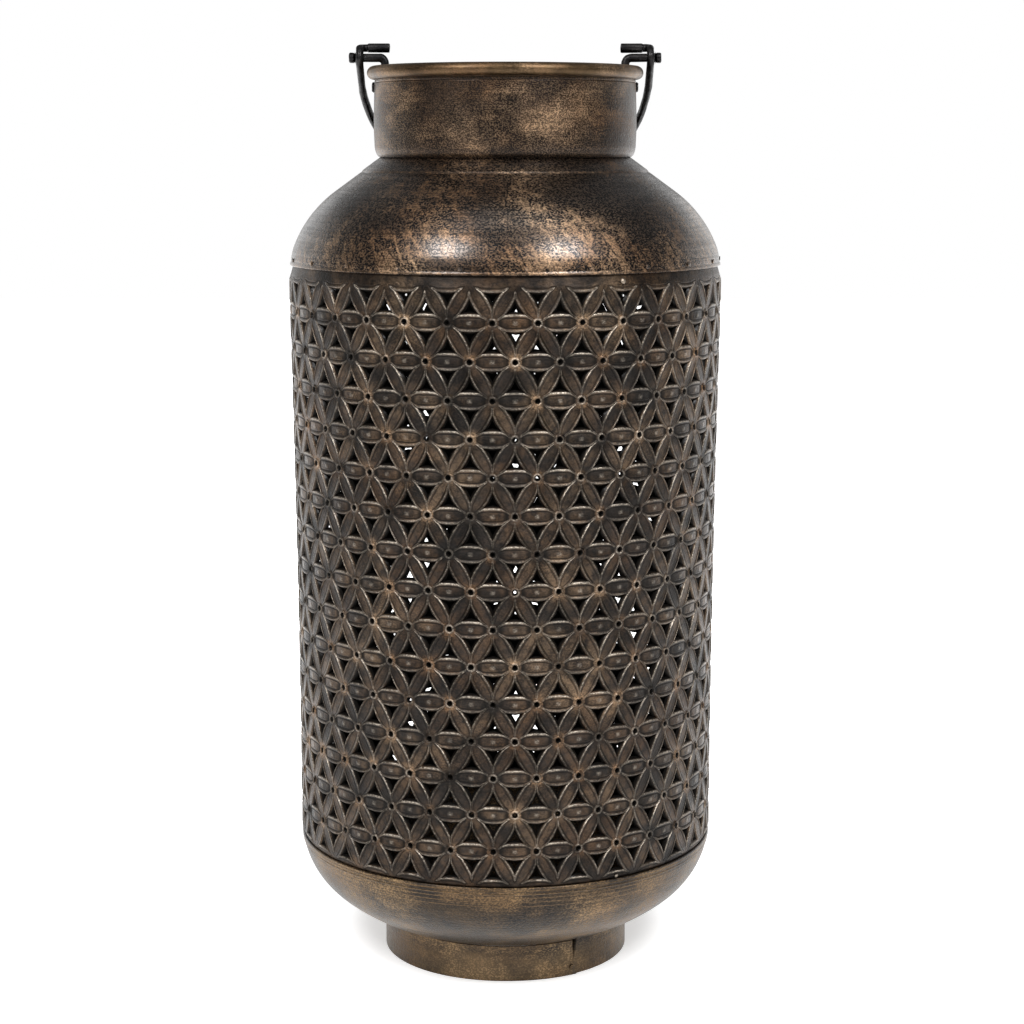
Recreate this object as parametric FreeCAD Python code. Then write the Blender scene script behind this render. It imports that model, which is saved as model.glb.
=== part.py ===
import FreeCAD, Part
import math
import os

# Punched tin lantern: a spun bowl on a rolled foot, a punched sleeve, a spun shoulder and neck, and a wire bail.
# Lengths are in millimetres and angles in degrees. It stands on z = 0 about the z axis, with its front towards -y.

# Clearance of pieces that are nested or soldered together
joint_gap = 0.1

# Body: the widest radius of the bowl and of the sleeve's straight part
body_radius = 128.2

# Foot: a strip rolled into a ring, its end lapped over its start at the seam
foot_outer_radius = 76.1
foot_sheet = 1.2
foot_seam_angle = 34.5
foot_lap_angle = 30.0
foot_lap_rise = 0.9
foot_rivet_radius = 0.8
foot_rivet_play = 0.05
foot_rivet_head_radius = 1.7
foot_rivet_head_height = 0.6
foot_rivet_height = 5.0
foot_rivet_before_seam = 2.6

# Bowl: spun to two tangent arcs round a flat floor
bowl_sheet = 0.9
bowl_lip_height = 76.2
bowl_floor_height = 16.5
bowl_side_radius = 54.0
bowl_side_turn = 50.0
bowl_base_radius = 105.0

# Sleeve: one strip of tin punched flat, then rolled, so each column of openings lies on a flat of its own
sleeve_sheet = 1.2
sleeve_flare = 2.7
sleeve_flare_start = 120.0
column_count = 64
row_count = 16
row_pitch = 21.75
lowest_row_over_lip = 0.1
opening_base_from_row = 5.2
opening_height = 8.3
opening_half_width = 4.9
first_column_angle = -3.04
level_rows = (5, 9, 12, 14, 15)
band_depth = 9.7
band_shoulder = 3.2
upper_band_depth = 8.4
upper_band_shoulder = 3.3

# Seam: a spot of solder on one flat at each end of the sleeve
seam_column = 6
spot_radii = (1.2, 1.7)
spot_height_share = 0.45

# Shoulder: spun to a knuckle arc, a crown arc and a cone, with a raised seat and a collar for the neck
shoulder_sheet = 0.9
skirt_over_body = 1.6
shoulder_lip_height = 428.6
shoulder_lip_roll = 0.5
shoulder_lip_band = 1.4
knuckle_radius = 32.0
knuckle_turn = 22.0
crown_radius = 73.0
crown_turn = 54.0
seat_radius = 86.4
seat_rise = 0.5
seat_slope_run = 0.5
collar_height = 8.0
shoulder_rivet_count = 22
shoulder_rivet_first_angle = -10.9
shoulder_rivet_over_lip = 3.6
shoulder_rivet_radius = 0.7
shoulder_rivet_play = 0.05
shoulder_rivet_head_radius = 1.3
shoulder_rivet_head_height = 0.5

# Neck: a barrel, tucked in at its base
neck_sheet = 0.9
neck_base_radius = 76.2
neck_tuck_radius = 78.6
neck_tuck_height = 5.5
neck_tuck_out_share = 0.72
neck_tuck_up_share = 0.36
neck_belly_radius = 79.0
neck_belly_share = 0.4
neck_top_radius = 78.1
neck_height = 45.6

# Rim: a round bead on the neck's edge
rim_section_radius = 3.95
rim_overhang = 0.8

# Ears: bent wires, each peened outside the neck, with a headed peg over the rim
ear_wire_radius = 2.7
ear_hole_play = 0.3
ear_leg_gap = 0.35
ear_corner_radius = 3.6
ear_drop = 8.3
ear_rise = 9.0
ear_foot_head_radius = 3.9
ear_foot_head_length = 1.6
peg_head_radius = 3.3
peg_head_length = 3.8

# Bail: a bent wire whose hooked ends turn on the pegs
bail_wire_radius = 2.5
hook_play = 0.3
hook_offset = 86.9
hook_wrap = 139.0
hook_side_play = 0.6
stub_bend_radius = 4.0
stub_radius = 3.0
stub_length = 14.0
stub_end_round = 1.2
arm_straight = 15.0
arm_side_radius = 180.0
arm_side_turn = 38.0
bail_rest_gap = 0.3

# How far a cutting tool runs past what it cuts
overrun = 1.0


def vector(x, y, z):
    return FreeCAD.Vector(x, y, z)


origin = vector(0, 0, 0)
up = vector(0, 0, 1)
across = vector(1, 0, 0)


def polar(radius, angle, z):
    """A point at an angle from the front, turning towards +x."""
    turn = math.radians(angle)
    return vector(radius * math.sin(turn), -radius * math.cos(turn), z)


def outline_point(centre, radius, angle):
    """A point of an outline, as its radius from the z axis and its height."""
    turn = math.radians(angle)
    return (centre[0] + radius * math.cos(turn), centre[1] + radius * math.sin(turn))


def place(point):
    return vector(point[0], 0, point[1])


def line(start, end):
    return Part.makeLine(place(start), place(end))


def arc(centre, radius, start_angle, end_angle):
    middle_angle = (start_angle + end_angle) / 2
    ends = [outline_point(centre, radius, angle) for angle in (start_angle, middle_angle, end_angle)]
    return Part.Arc(*[place(point) for point in ends]).toShape()


def arc_through(*points):
    return Part.Arc(*[place(point) for point in points]).toShape()


def revolve(edges):
    """The solid of revolution of a closed outline about the z axis."""
    solid = Part.Face(Part.Wire(edges)).revolve(origin, up, 360)
    if solid.Volume < 0:
        solid.reverse()
    return solid


# The bowl's two arcs, in a section through the axis
bowl_base_rise = bowl_base_radius * (1 - math.sin(math.radians(bowl_side_turn)))
bowl_side_drop = bowl_side_radius * math.sin(math.radians(bowl_side_turn))
bowl_side_centre = (
    body_radius - bowl_side_radius,
    bowl_floor_height + bowl_base_rise + bowl_side_drop,
)
bowl_base_centre = outline_point(
    bowl_side_centre, bowl_base_radius - bowl_side_radius, 180 - bowl_side_turn
)


def bowl_surface_height(radius):
    """Height of the bowl's underside over a radius that its base arc covers."""
    run = radius - bowl_base_centre[0]
    return bowl_base_centre[1] - math.sqrt(bowl_base_radius**2 - run**2)


def bowl_surface_radius(z):
    """Outer radius of the bowl at a height that its side arc covers."""
    return bowl_side_centre[0] + math.sqrt(bowl_side_radius**2 - (bowl_side_centre[1] - z) ** 2)


foot_inner_radius = foot_outer_radius - foot_sheet
foot_height = bowl_surface_height(foot_inner_radius) - joint_gap


def foot_rivet_tool(radius, start, length):
    angle = foot_seam_angle - foot_rivet_before_seam
    return Part.makeCylinder(
        radius, length, polar(start, angle, foot_rivet_height), polar(1, angle, 0)
    )


def foot_ring():
    """The rolled strip in plan, with the lapped end standing out at the seam."""
    lap_start = foot_seam_angle - foot_lap_angle
    lap_middle = (lap_start + foot_seam_angle) / 2
    half_way = foot_seam_angle + (360 - foot_lap_angle) / 2
    edges = [
        Part.Arc(
            polar(foot_outer_radius, foot_seam_angle, 0),
            polar(foot_outer_radius, half_way, 0),
            polar(foot_outer_radius, lap_start, 0),
        ).toShape(),
        Part.Arc(
            polar(foot_outer_radius, lap_start, 0),
            polar(foot_outer_radius + foot_lap_rise / 2, lap_middle, 0),
            polar(foot_outer_radius + foot_lap_rise, foot_seam_angle, 0),
        ).toShape(),
        Part.makeLine(
            polar(foot_outer_radius + foot_lap_rise, foot_seam_angle, 0),
            polar(foot_outer_radius, foot_seam_angle, 0),
        ),
    ]
    strip = Part.Face(Part.Wire(edges)).extrude(vector(0, 0, foot_height))
    strip = strip.cut(Part.makeCylinder(foot_inner_radius, foot_height))
    hole = foot_rivet_tool(
        foot_rivet_radius + foot_rivet_play,
        foot_inner_radius - overrun,
        foot_sheet + foot_lap_rise + 2 * overrun,
    )
    return strip.cut(hole)


def foot_rivet():
    """The rivet through the lapped ends, with a low head on each side."""
    outer_face = foot_outer_radius + foot_lap_rise
    shank = foot_rivet_tool(foot_rivet_radius, foot_inner_radius, outer_face - foot_inner_radius)
    outer_head = foot_rivet_tool(foot_rivet_head_radius, outer_face, foot_rivet_head_height)
    inner_head = foot_rivet_tool(
        foot_rivet_head_radius,
        foot_inner_radius - foot_rivet_head_height - joint_gap,
        foot_rivet_head_height,
    )
    neck_of_head = foot_rivet_tool(
        foot_rivet_radius, foot_inner_radius - joint_gap, foot_sheet
    )
    return shank.fuse([outer_head, inner_head, neck_of_head]).removeSplitter()


def bowl_angle(radius):
    """Angle on the side arc, seen from its centre, where the lip cuts it."""
    return -math.degrees(math.asin((bowl_side_centre[1] - bowl_lip_height) / radius))


def bowl():
    inner_side = bowl_side_radius - bowl_sheet
    inner_base = bowl_base_radius - bowl_sheet
    floor_edge = bowl_base_centre[0]
    floor_top = bowl_floor_height + bowl_sheet
    side_end = -bowl_side_turn
    outer_lip = outline_point(bowl_side_centre, bowl_side_radius, bowl_angle(bowl_side_radius))
    inner_lip = outline_point(bowl_side_centre, inner_side, bowl_angle(inner_side))
    return revolve(
        [
            line((0, bowl_floor_height), (floor_edge, bowl_floor_height)),
            arc(bowl_base_centre, bowl_base_radius, -90, side_end),
            arc(bowl_side_centre, bowl_side_radius, side_end, bowl_angle(bowl_side_radius)),
            line(outer_lip, inner_lip),
            arc(bowl_side_centre, inner_side, bowl_angle(inner_side), side_end),
            arc(bowl_base_centre, inner_base, side_end, -90),
            line((floor_edge, floor_top), (0, floor_top)),
            line((0, floor_top), (0, bowl_floor_height)),
        ]
    )


shoulder_radius = body_radius + skirt_over_body

# The sleeve's row lines, counted upwards from the one at its foot
lowest_row = bowl_lip_height + lowest_row_over_lip
highest_row = lowest_row + row_count * row_pitch
half_column = 180 / column_count


def row_height(row):
    return lowest_row + row * row_pitch


def sleeve_surface_radius(z):
    """Outer radius of the sleeve's flats: straight below, then flaring gently to the top."""
    rise = max(0.0, z - sleeve_flare_start) / (row_height(row_count - 1) - sleeve_flare_start)
    return body_radius + sleeve_flare * min(1.0, rise) ** 2


def sleeve_levels():
    """Heights and outer radii where the sleeve's flats are folded, from its foot to its top edge."""
    bottom = bowl_lip_height - band_depth
    tuck = bowl_sheet + joint_gap
    lower = [
        (bottom, bowl_surface_radius(bottom) - 2 * tuck),
        (bowl_lip_height, bowl_surface_radius(bowl_lip_height) - tuck - joint_gap),
        (bowl_lip_height + band_shoulder, body_radius),
    ]
    middle = [(row_height(row), sleeve_surface_radius(row_height(row))) for row in level_rows]
    skirt = shoulder_radius - shoulder_sheet - joint_gap
    shoulder_start = highest_row - upper_band_shoulder
    top = shoulder_lip_height + upper_band_depth
    upper = [
        (shoulder_start, sleeve_surface_radius(shoulder_start)),
        (shoulder_lip_height, skirt - joint_gap),
        (top, shoulder_inner_radius(top) - 2 * joint_gap),
    ]
    return lower + middle + upper


def flat_point(column, out, side, z):
    """A point on a column's flat: its distance from the axis, its place across the flat and its height."""
    turn = math.radians(first_column_angle + column * 2 * half_column)
    return vector(
        out * math.sin(turn) + side * math.cos(turn),
        side * math.sin(turn) - out * math.cos(turn),
        z,
    )


def column_openings(column):
    """The openings of one column, each as three points: their places across the flat and their heights."""
    openings = []
    for row in range(row_count):
        low, high = row_height(row), row_height(row + 1)
        if (row + column) % 2:
            base = high - opening_base_from_row
            apex = base - opening_height
        else:
            base = low + opening_base_from_row
            apex = base + opening_height
        openings.append([(-opening_half_width, base), (opening_half_width, base), (0, apex)])
    return openings


def level_face(column, lower, upper, inset, holes):
    """One flat of the sleeve between two folds, with its openings."""
    spread = math.tan(math.radians(half_column))

    def out_at(z):
        share = (z - lower[0]) / (upper[0] - lower[0])
        return lower[1] + (upper[1] - lower[1]) * share - inset

    def corner(level, side):
        out = level[1] - inset
        return flat_point(column, out, side * out * spread, level[0])

    rim = [corner(lower, -1), corner(lower, 1), corner(upper, 1), corner(upper, -1)]
    wires = [Part.makePolygon(rim + rim[:1])]
    for hole in holes:
        points = [flat_point(column, out_at(z), side, z) for side, z in hole]
        wires.append(Part.makePolygon(points + points[:1]))
    return Part.makeFace(wires, "Part::FaceMakerBullseye"), wires[1:]


def strip_between(first, second):
    """The walls between two loops of as many points."""
    starts = [vertex.Point for vertex in first.OrderedVertexes]
    ends = [vertex.Point for vertex in second.OrderedVertexes]
    walls = []
    for index, start in enumerate(starts):
        following = (index + 1) % len(starts)
        loop = [start, starts[following], ends[following], ends[index], start]
        walls.append(Part.Face(Part.makePolygon(loop)))
    return walls


def edge_face(column, level):
    """The sheet's cut edge at the top or bottom of one flat."""
    spread = math.tan(math.radians(half_column))
    outer, inner = level[1], level[1] - sleeve_sheet
    corners = [
        flat_point(column, out, side * out * spread, level[0])
        for out, side in ((outer, -1), (outer, 1), (inner, 1), (inner, -1))
    ]
    return Part.Face(Part.makePolygon(corners + corners[:1]))


def punched_sleeve():
    """The punched tin, made flat by flat and sewn into one closed solid."""
    levels = sleeve_levels()
    faces = []
    for column in range(column_count):
        openings = column_openings(column)
        for lower, upper in zip(levels[:-1], levels[1:]):
            holes = [hole for hole in openings if lower[0] < hole[0][1] < upper[0]]
            outer_face, outer_loops = level_face(column, lower, upper, 0, holes)
            inner_face, inner_loops = level_face(column, lower, upper, sleeve_sheet, holes)
            faces += [outer_face, inner_face]
            for outer_loop, inner_loop in zip(outer_loops, inner_loops):
                faces += strip_between(outer_loop, inner_loop)
        faces += [edge_face(column, levels[0]), edge_face(column, levels[-1])]
    shell = Part.Shell(faces)
    shell.sewShape()
    solid = Part.Solid(shell)
    if solid.Volume < 0:
        solid.reverse()
    return solid


def solder_spot(lower, upper, radius):
    """A low dome on the seam's flat, half way between two folds."""
    rise, run = upper[0] - lower[0], upper[1] - lower[1]
    length = math.hypot(rise, run)
    height = radius * spot_height_share
    ball = (radius**2 + height**2) / (2 * height)
    depth = ball - height - joint_gap / 2
    out = (lower[1] + upper[1]) / 2 - depth * rise / length
    z = (lower[0] + upper[0]) / 2 + depth * run / length
    angle = first_column_angle + seam_column * 2 * half_column
    facing = polar(rise / length, angle, -run / length)
    latitude = math.degrees(math.asin((ball - height) / ball))
    return Part.makeSphere(ball, polar(out, angle, z), facing, latitude, 90, 360)


def seam_solder():
    """The two spots on the sleeve's flat."""
    levels = sleeve_levels()
    bands = [(levels[1], levels[2]), (levels[-3], levels[-2])]
    return Part.makeCompound(
        [solder_spot(lower, upper, radius) for (lower, upper), radius in zip(bands, spot_radii)]
    )


# The shoulder's two arcs and cone, in a section through the axis
knuckle_centre = (shoulder_radius - knuckle_radius, shoulder_lip_height)
crown_centre = outline_point(knuckle_centre, knuckle_radius - crown_radius, knuckle_turn)
cone_normal = (math.cos(math.radians(crown_turn)), math.sin(math.radians(crown_turn)))


def cone_height(radius, depth):
    """Height of the cone over a radius, at a depth under its outer face."""
    start = outline_point(crown_centre, crown_radius - depth, crown_turn)
    return start[1] + (start[0] - radius) * cone_normal[0] / cone_normal[1]


def shoulder_inner_radius(z):
    """Inner radius of the skirt at a height that the knuckle arc covers."""
    inner = knuckle_radius - shoulder_sheet
    return knuckle_centre[0] + math.sqrt(inner**2 - (z - knuckle_centre[1]) ** 2)


collar_outer_radius = neck_base_radius - neck_sheet - joint_gap
collar_inner_radius = collar_outer_radius - shoulder_sheet


def shoulder_rivet_tool(index, radius, start, length):
    angle = shoulder_rivet_first_angle + index * 360 / shoulder_rivet_count
    z = shoulder_lip_height + shoulder_rivet_over_lip
    return Part.makeCylinder(radius, length, polar(start, angle, z), polar(1, angle, 0))


def rivet_seat_radius():
    """Outer radius of the skirt at the rivets."""
    return knuckle_centre[0] + math.sqrt(knuckle_radius**2 - shoulder_rivet_over_lip**2)


def shoulder():
    inner_knuckle = knuckle_radius - shoulder_sheet
    inner_crown = crown_radius - shoulder_sheet
    roll_radius = shoulder_radius + shoulder_lip_roll
    roll_top = shoulder_lip_height + shoulder_lip_band
    roll_angle = math.degrees(math.asin((shoulder_lip_band + shoulder_lip_roll) / knuckle_radius))
    roll_end = outline_point(knuckle_centre, knuckle_radius, roll_angle)
    seat_foot = (seat_radius, cone_height(seat_radius, 0))
    seat_inner = seat_radius - seat_slope_run
    seat_top = (seat_inner, cone_height(seat_inner, 0) + seat_rise)
    mouth_outer = (collar_outer_radius, cone_height(collar_outer_radius, 0) + seat_rise)
    mouth_inner = (collar_inner_radius, cone_height(collar_inner_radius, shoulder_sheet))
    collar_top = mouth_outer[1] + collar_height
    shell = revolve(
        [
            line((shoulder_radius - shoulder_sheet, shoulder_lip_height), (roll_radius, shoulder_lip_height)),
            line((roll_radius, shoulder_lip_height), (roll_radius, roll_top)),
            line((roll_radius, roll_top), roll_end),
            arc(knuckle_centre, knuckle_radius, roll_angle, knuckle_turn),
            arc(crown_centre, crown_radius, knuckle_turn, crown_turn),
            line(outline_point(crown_centre, crown_radius, crown_turn), seat_foot),
            line(seat_foot, seat_top),
            line(seat_top, mouth_outer),
            line(mouth_outer, (collar_outer_radius, collar_top)),
            line((collar_outer_radius, collar_top), (collar_inner_radius, collar_top)),
            line((collar_inner_radius, collar_top), mouth_inner),
            line(mouth_inner, outline_point(crown_centre, inner_crown, crown_turn)),
            arc(crown_centre, inner_crown, crown_turn, knuckle_turn),
            arc(knuckle_centre, inner_knuckle, knuckle_turn, 0),
        ]
    )
    holes = [
        shoulder_rivet_tool(
            index,
            shoulder_rivet_radius + shoulder_rivet_play,
            shoulder_radius - shoulder_sheet - overrun,
            shoulder_sheet + 2 * overrun,
        )
        for index in range(shoulder_rivet_count)
    ]
    return shell.cut(Part.makeCompound(holes))


def shoulder_rivets():
    """The rivets round the skirt, each a shank with a low head outside."""
    seat = rivet_seat_radius()
    rivets = []
    for index in range(shoulder_rivet_count):
        shank = shoulder_rivet_tool(index, shoulder_rivet_radius, seat - shoulder_sheet, shoulder_sheet)
        head = shoulder_rivet_tool(
            index, shoulder_rivet_head_radius, seat + joint_gap, shoulder_rivet_head_height
        )
        stem = shoulder_rivet_tool(index, shoulder_rivet_radius, seat, shoulder_rivet_head_height)
        rivets.append(shank.fuse([head, stem]).removeSplitter())
    return Part.makeCompound(rivets)


neck_bottom = cone_height(neck_base_radius - neck_sheet, 0) + seat_rise + joint_gap
neck_top = neck_bottom + neck_height
rim_radius = neck_top_radius + rim_overhang
rim_height = neck_top + joint_gap + math.sqrt(rim_section_radius**2 - rim_overhang**2)
ear_foot_height = rim_height - ear_drop
peg_height = rim_height + ear_rise


def neck_side(inset):
    """The neck's outline, as points for its tuck and its barrel."""
    tuck_run = neck_tuck_radius - neck_base_radius
    base = (neck_base_radius - inset, neck_bottom)
    middle = (
        neck_base_radius + tuck_run * neck_tuck_out_share - inset,
        neck_bottom + neck_tuck_height * neck_tuck_up_share,
    )
    tuck = (neck_tuck_radius - inset, neck_bottom + neck_tuck_height)
    belly = (neck_belly_radius - inset, neck_bottom + neck_height * neck_belly_share)
    top = (neck_top_radius - inset, neck_top)
    return base, middle, tuck, belly, top


def neck_surface_radius(z):
    """Outer radius of the neck's barrel at a height, on the circle through its three points."""
    _, _, tuck, belly, top = neck_side(0)
    chord = (top[0] - tuck[0], top[1] - tuck[1])
    span = math.hypot(*chord)
    along = ((belly[0] - tuck[0]) * chord[0] + (belly[1] - tuck[1]) * chord[1]) / span
    bow = ((belly[0] - tuck[0]) * chord[1] - (belly[1] - tuck[1]) * chord[0]) / span
    radius_to_side = (along**2 + bow**2 - along * span) / (2 * bow)
    radius = math.hypot(span / 2, radius_to_side)
    centre_radius = (tuck[0] + top[0]) / 2 + radius_to_side * chord[1] / span
    centre_height = (tuck[1] + top[1]) / 2 - radius_to_side * chord[0] / span
    return centre_radius + math.sqrt(radius**2 - (z - centre_height) ** 2)


def neck():
    base, middle, tuck, belly, top = neck_side(0)
    inner_base, inner_middle, inner_tuck, inner_belly, inner_top = neck_side(neck_sheet)
    barrel = revolve(
        [
            arc_through(base, middle, tuck),
            arc_through(tuck, belly, top),
            line(top, inner_top),
            arc_through(inner_top, inner_belly, inner_tuck),
            arc_through(inner_tuck, inner_middle, inner_base),
            line(inner_base, base),
        ]
    )
    reach = neck_belly_radius + overrun
    holes = Part.makeCylinder(
        ear_wire_radius + ear_hole_play, 2 * reach, vector(-reach, 0, ear_foot_height), across
    )
    return barrel.cut(holes)


def rim_ring():
    return Part.makeTorus(rim_radius, rim_section_radius, vector(0, 0, rim_height), up)


hook_outer_face = hook_offset + bail_wire_radius
ear_leg_offset = rim_radius - rim_section_radius - ear_leg_gap - ear_wire_radius
ear_foot_offset = neck_surface_radius(ear_foot_height) + joint_gap
peg_end = hook_outer_face + hook_side_play + peg_head_length


def swept_wire(edges, radius):
    """A round wire along tangent edges that start at the first one's start."""
    path = Part.Wire(edges)
    start = edges[0].firstVertex().Point
    heading = edges[0].tangentAt(edges[0].FirstParameter)
    section = Part.Wire(Part.makeCircle(radius, start, heading))
    return path.makePipeShell([section], True, False)


def ear_path():
    """From the peened foot through the neck, up inside it and out over the rim, on the +x side."""
    leg, bend = ear_leg_offset, ear_corner_radius
    foot_start = ear_foot_offset + ear_foot_head_length
    lower = (leg + bend, ear_foot_height + bend)
    upper = (leg + bend, peg_height - bend)
    return [
        line((foot_start, ear_foot_height), (leg + bend, ear_foot_height)),
        arc(lower, bend, 270, 180),
        line((leg, ear_foot_height + bend), (leg, peg_height - bend)),
        arc(upper, bend, 180, 90),
        line((leg + bend, peg_height), (peg_end, peg_height)),
    ]


def ear(side):
    """One bent wire with its peened foot and headed peg, on the side given by the sign of x."""
    wire = swept_wire(ear_path(), ear_wire_radius)
    foot_head = Part.makeCone(
        ear_foot_head_radius,
        ear_wire_radius,
        ear_foot_head_length,
        vector(ear_foot_offset, 0, ear_foot_height),
        across,
    )
    peg_head = Part.makeCylinder(
        peg_head_radius, peg_head_length, vector(peg_end - peg_head_length, 0, peg_height), across
    )
    solid = wire.fuse([foot_head, peg_head]).removeSplitter()
    if side < 0:
        solid = solid.mirror(origin, across)
    return solid


# The bail's own frame has x along the pegs, y along its arms and z square to them, with the pegs' axis at its origin
hook_radius = ear_wire_radius + hook_play + bail_wire_radius
hook_end_angle = 270 - hook_wrap


def hook_point(angle):
    turn = math.radians(angle)
    return vector(hook_offset, hook_radius * math.cos(turn), hook_radius * math.sin(turn))


hook_end = hook_point(hook_end_angle)
hook_end_heading = vector(
    0, math.sin(math.radians(hook_end_angle)), -math.cos(math.radians(hook_end_angle))
)
stub_start = hook_end + hook_end_heading * stub_bend_radius - across * stub_bend_radius

# The arch of the bail: straight arms, two side arcs and a bottom arc, all tangent
side_turn = math.radians(arm_side_turn)
side_end_offset = hook_offset - arm_side_radius * (1 - math.cos(side_turn))
side_end_reach = arm_straight + arm_side_radius * math.sin(side_turn)
bottom_radius = side_end_offset / math.cos(side_turn)
bottom_reach = side_end_reach - bottom_radius * math.sin(side_turn)
arch_reach = bottom_reach + bottom_radius


def arch_point(angle):
    """A point on the bail's arcs, on the +x side, by the direction it faces."""
    turn = math.radians(angle)
    if angle < arm_side_turn:
        offset = hook_offset - arm_side_radius * (1 - math.cos(turn))
        reach = arm_straight + arm_side_radius * math.sin(turn)
    else:
        offset = bottom_radius * math.cos(turn)
        reach = bottom_reach + bottom_radius * math.sin(turn)
    return vector(offset, reach, -hook_radius)


def clear_of_shoulder(point):
    """How far a point lies outside the shoulder's outer face."""
    radius = math.hypot(point.x, point.y)
    facing = math.degrees(math.atan2(point.z - crown_centre[1], radius - crown_centre[0]))
    if facing < knuckle_turn:
        return math.hypot(radius - knuckle_centre[0], point.z - knuckle_centre[1]) - knuckle_radius
    if facing < crown_turn:
        return math.hypot(radius - crown_centre[0], point.z - crown_centre[1]) - crown_radius
    start = outline_point(crown_centre, crown_radius, crown_turn)
    return (radius - start[0]) * cone_normal[0] + (point.z - start[1]) * cone_normal[1]


def lowered(point, tilt):
    """A point of the bail's own frame, with its arms turned down behind the neck by the tilt."""
    turn = math.radians(tilt)
    return vector(
        point.x,
        point.y * math.cos(turn) + point.z * math.sin(turn),
        peg_height - point.y * math.sin(turn) + point.z * math.cos(turn),
    )


def rest_tilt():
    """The tilt at which the lowered bail lies on the shoulder, with the rest gap between them."""
    points = [arch_point(angle) for angle in range(91)]
    least = bail_wire_radius + bail_rest_gap
    free, blocked = 0.0, 90.0
    while blocked - free > 1e-6:
        tilt = (free + blocked) / 2
        if min(clear_of_shoulder(lowered(point, tilt)) for point in points) > least:
            free = tilt
        else:
            blocked = tilt
    return free


def bail_half():
    """Edges of the wire from its stub to the end of its side arc, on the +x side."""
    bend_centre = hook_end - across * stub_bend_radius
    half_turn = math.sqrt(0.5) * stub_bend_radius
    bend_middle = bend_centre + across * half_turn + hook_end_heading * half_turn
    stub_tip = stub_start - across * stub_length
    return [
        Part.makeLine(stub_tip, stub_start),
        Part.Arc(stub_start, bend_middle, hook_end).toShape(),
        Part.Arc(hook_end, hook_point((hook_end_angle + 270) / 2), hook_point(270)).toShape(),
        Part.makeLine(hook_point(270), arch_point(0)),
        Part.Arc(arch_point(0), arch_point(arm_side_turn / 2), arch_point(arm_side_turn)).toShape(),
    ]


def mirrored(point):
    return vector(-point.x, point.y, point.z)


def flipped(edges):
    """The same edges on the -x side, run the other way."""
    turned = []
    for edge in reversed(edges):
        ends = [mirrored(edge.lastVertex().Point), mirrored(edge.firstVertex().Point)]
        if isinstance(edge.Curve, Part.Line):
            turned.append(Part.makeLine(*ends))
            continue
        middle = edge.valueAt((edge.FirstParameter + edge.LastParameter) / 2)
        turned.append(Part.Arc(ends[0], mirrored(middle), ends[1]).toShape())
    return turned


def stub(side):
    """The blunt, slightly swollen end of the wire."""
    blank = Part.makeCylinder(stub_radius, stub_length, stub_start - across * stub_length, across)
    blank = blank.makeFillet(stub_end_round, [edge for edge in blank.Edges if len(edge.Vertexes) == 1])
    return blank.mirror(origin, across) if side < 0 else blank


def bail():
    half = bail_half()
    side_end = arch_point(arm_side_turn)
    bottom = Part.Arc(side_end, arch_point(90), mirrored(side_end)).toShape()
    wire = swept_wire(half + [bottom] + flipped(half), bail_wire_radius)
    solid = wire.fuse([stub(1), stub(-1)])
    solid.rotate(origin, across, -rest_tilt())
    solid.translate(vector(0, 0, peg_height))
    return solid


pieces = {
    "foot_ring": foot_ring,
    "foot_rivet": foot_rivet,
    "bowl": bowl,
    "punched_sleeve": punched_sleeve,
    "seam_solder": seam_solder,
    "shoulder": shoulder,
    "shoulder_rivets": shoulder_rivets,
    "neck": neck,
    "rim_ring": rim_ring,
    "left_ear": lambda: ear(-1),
    "right_ear": lambda: ear(1),
    "bail": bail,
}

os.makedirs("parts", exist_ok=True)
for name, build in pieces.items():
    shape = build()
    shape.exportStep("parts/" + name + ".step")
    box = shape.BoundBox
    print(
        name, "solids", len(shape.Solids), "valid", shape.isValid(), "volume", round(shape.Volume),
        "z", round(box.ZMin, 2), round(box.ZMax, 2), "x", round(box.XMax, 2), "y", round(box.YMax, 2),
    )
print("pegs at", round(peg_height, 3), "bail lowered by", round(rest_tilt(), 3), "reach", round(arch_reach, 1))
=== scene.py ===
import math

import bmesh
import bpy
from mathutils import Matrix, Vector, noise


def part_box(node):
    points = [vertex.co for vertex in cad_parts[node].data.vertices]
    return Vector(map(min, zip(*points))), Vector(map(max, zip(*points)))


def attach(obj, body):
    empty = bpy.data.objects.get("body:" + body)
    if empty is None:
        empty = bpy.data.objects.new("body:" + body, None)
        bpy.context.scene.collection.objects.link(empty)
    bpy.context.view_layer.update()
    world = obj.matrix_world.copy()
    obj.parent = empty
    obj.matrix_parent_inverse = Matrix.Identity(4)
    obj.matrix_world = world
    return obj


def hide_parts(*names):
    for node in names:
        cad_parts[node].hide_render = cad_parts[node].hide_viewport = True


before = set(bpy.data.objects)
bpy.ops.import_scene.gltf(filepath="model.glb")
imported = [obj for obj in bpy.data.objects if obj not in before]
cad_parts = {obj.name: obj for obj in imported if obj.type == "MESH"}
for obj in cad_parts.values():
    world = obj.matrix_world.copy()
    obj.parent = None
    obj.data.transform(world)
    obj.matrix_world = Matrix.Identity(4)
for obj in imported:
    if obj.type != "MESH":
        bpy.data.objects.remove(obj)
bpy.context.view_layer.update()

mm = 0.001
weldWithin = 1e-6
scene = bpy.context.scene


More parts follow.
